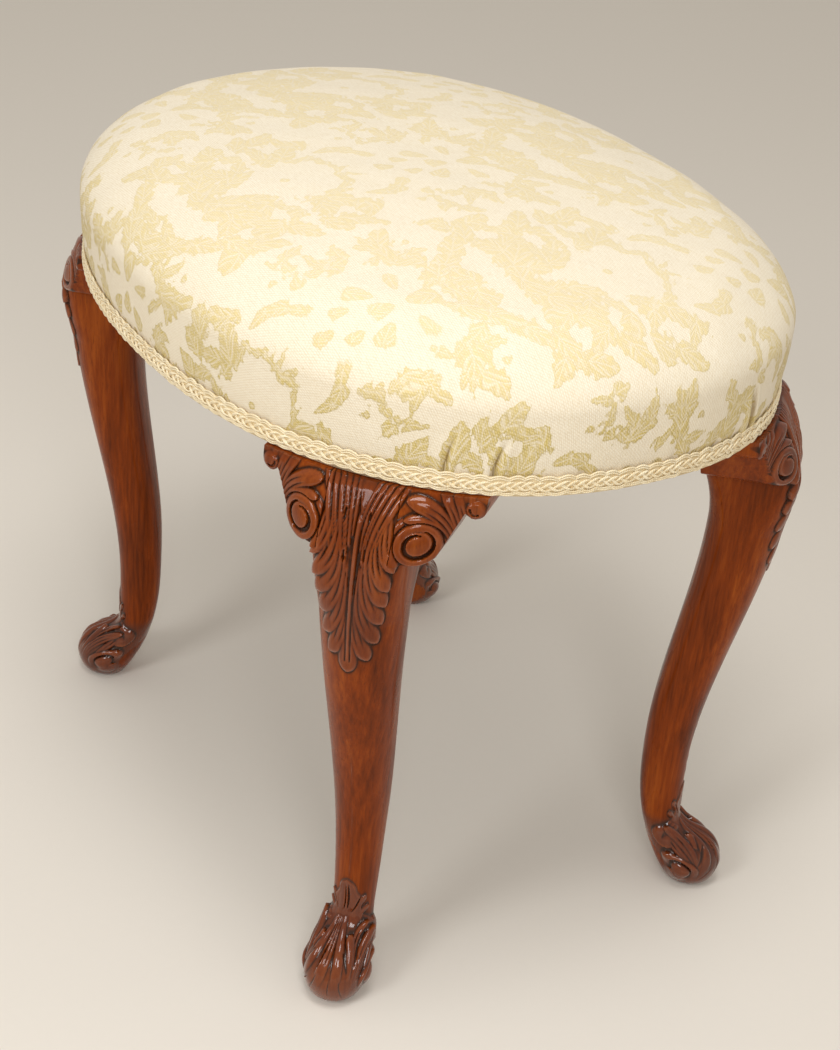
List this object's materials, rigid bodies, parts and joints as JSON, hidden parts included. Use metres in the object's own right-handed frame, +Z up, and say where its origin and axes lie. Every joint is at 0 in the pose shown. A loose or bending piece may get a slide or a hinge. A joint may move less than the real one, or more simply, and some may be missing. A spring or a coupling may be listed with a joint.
{
  "type": "vanity stool",
  "caption": "Oval dressing stool with a crowned damask stuff-over seat, braid edging, carved cabriole legs, scrolled knee brackets and scroll feet.",
  "frame": {"origin": "on the floor under the middle of the oval seat", "axes": "+Z up, +X along the long axis of the oval, +Y along its short axis"},
  "size_m": [0.524, 0.3984, 0.472],
  "materials": {
    "walnut": "polished dark walnut",
    "beech": "planed, unfinished",
    "steel": "plain steel",
    "jute": "woven jute webbing",
    "hessian": "open weave hessian",
    "hair": "curled hair and wadding",
    "damask": "woven damask, cream and gold",
    "braid": "scroll gimp braid",
    "lining": "plain black cotton"
  },
  "bodies": {
    "root": {"leg_front_right": "walnut", "leg_front_left": "walnut", "leg_back_right": "walnut", "leg_back_left": "walnut", "knee_bracket_front_right_end": "walnut", "knee_bracket_front_right_side": "walnut", "knee_bracket_front_left_end": "walnut", "knee_bracket_front_left_side": "walnut", "knee_bracket_back_right_end": "walnut", "knee_bracket_back_right_side": "walnut", "knee_bracket_back_left_end": "walnut", "knee_bracket_back_left_side": "walnut", "rail_front": "beech", "rail_back": "beech", "rail_left": "beech", "rail_right": "beech", "corner_block_front_right": "beech", "corner_block_front_left": "beech", "corner_block_back_right": "beech", "corner_block_back_left": "beech", "corner_screw_front_right_end": "steel", "corner_screw_front_right_side": "steel", "corner_screw_front_left_end": "steel", "corner_screw_front_left_side": "steel", "corner_screw_back_right_end": "steel", "corner_screw_back_right_side": "steel", "corner_screw_back_left_end": "steel", "corner_screw_back_left_side": "steel", "webbing_lengthwise_1": "jute", "webbing_lengthwise_2": "jute", "webbing_lengthwise_3": "jute", "webbing_crosswise_1": "jute", "webbing_crosswise_2": "jute", "webbing_crosswise_3": "jute", "webbing_crosswise_4": "jute", "webbing_crosswise_5": "jute", "hessian_base": "hessian", "seat_stuffing": "hair", "seat_cover": "damask", "edge_braid": "braid", "dust_cover": "lining"}
  },
  "joints": []
}
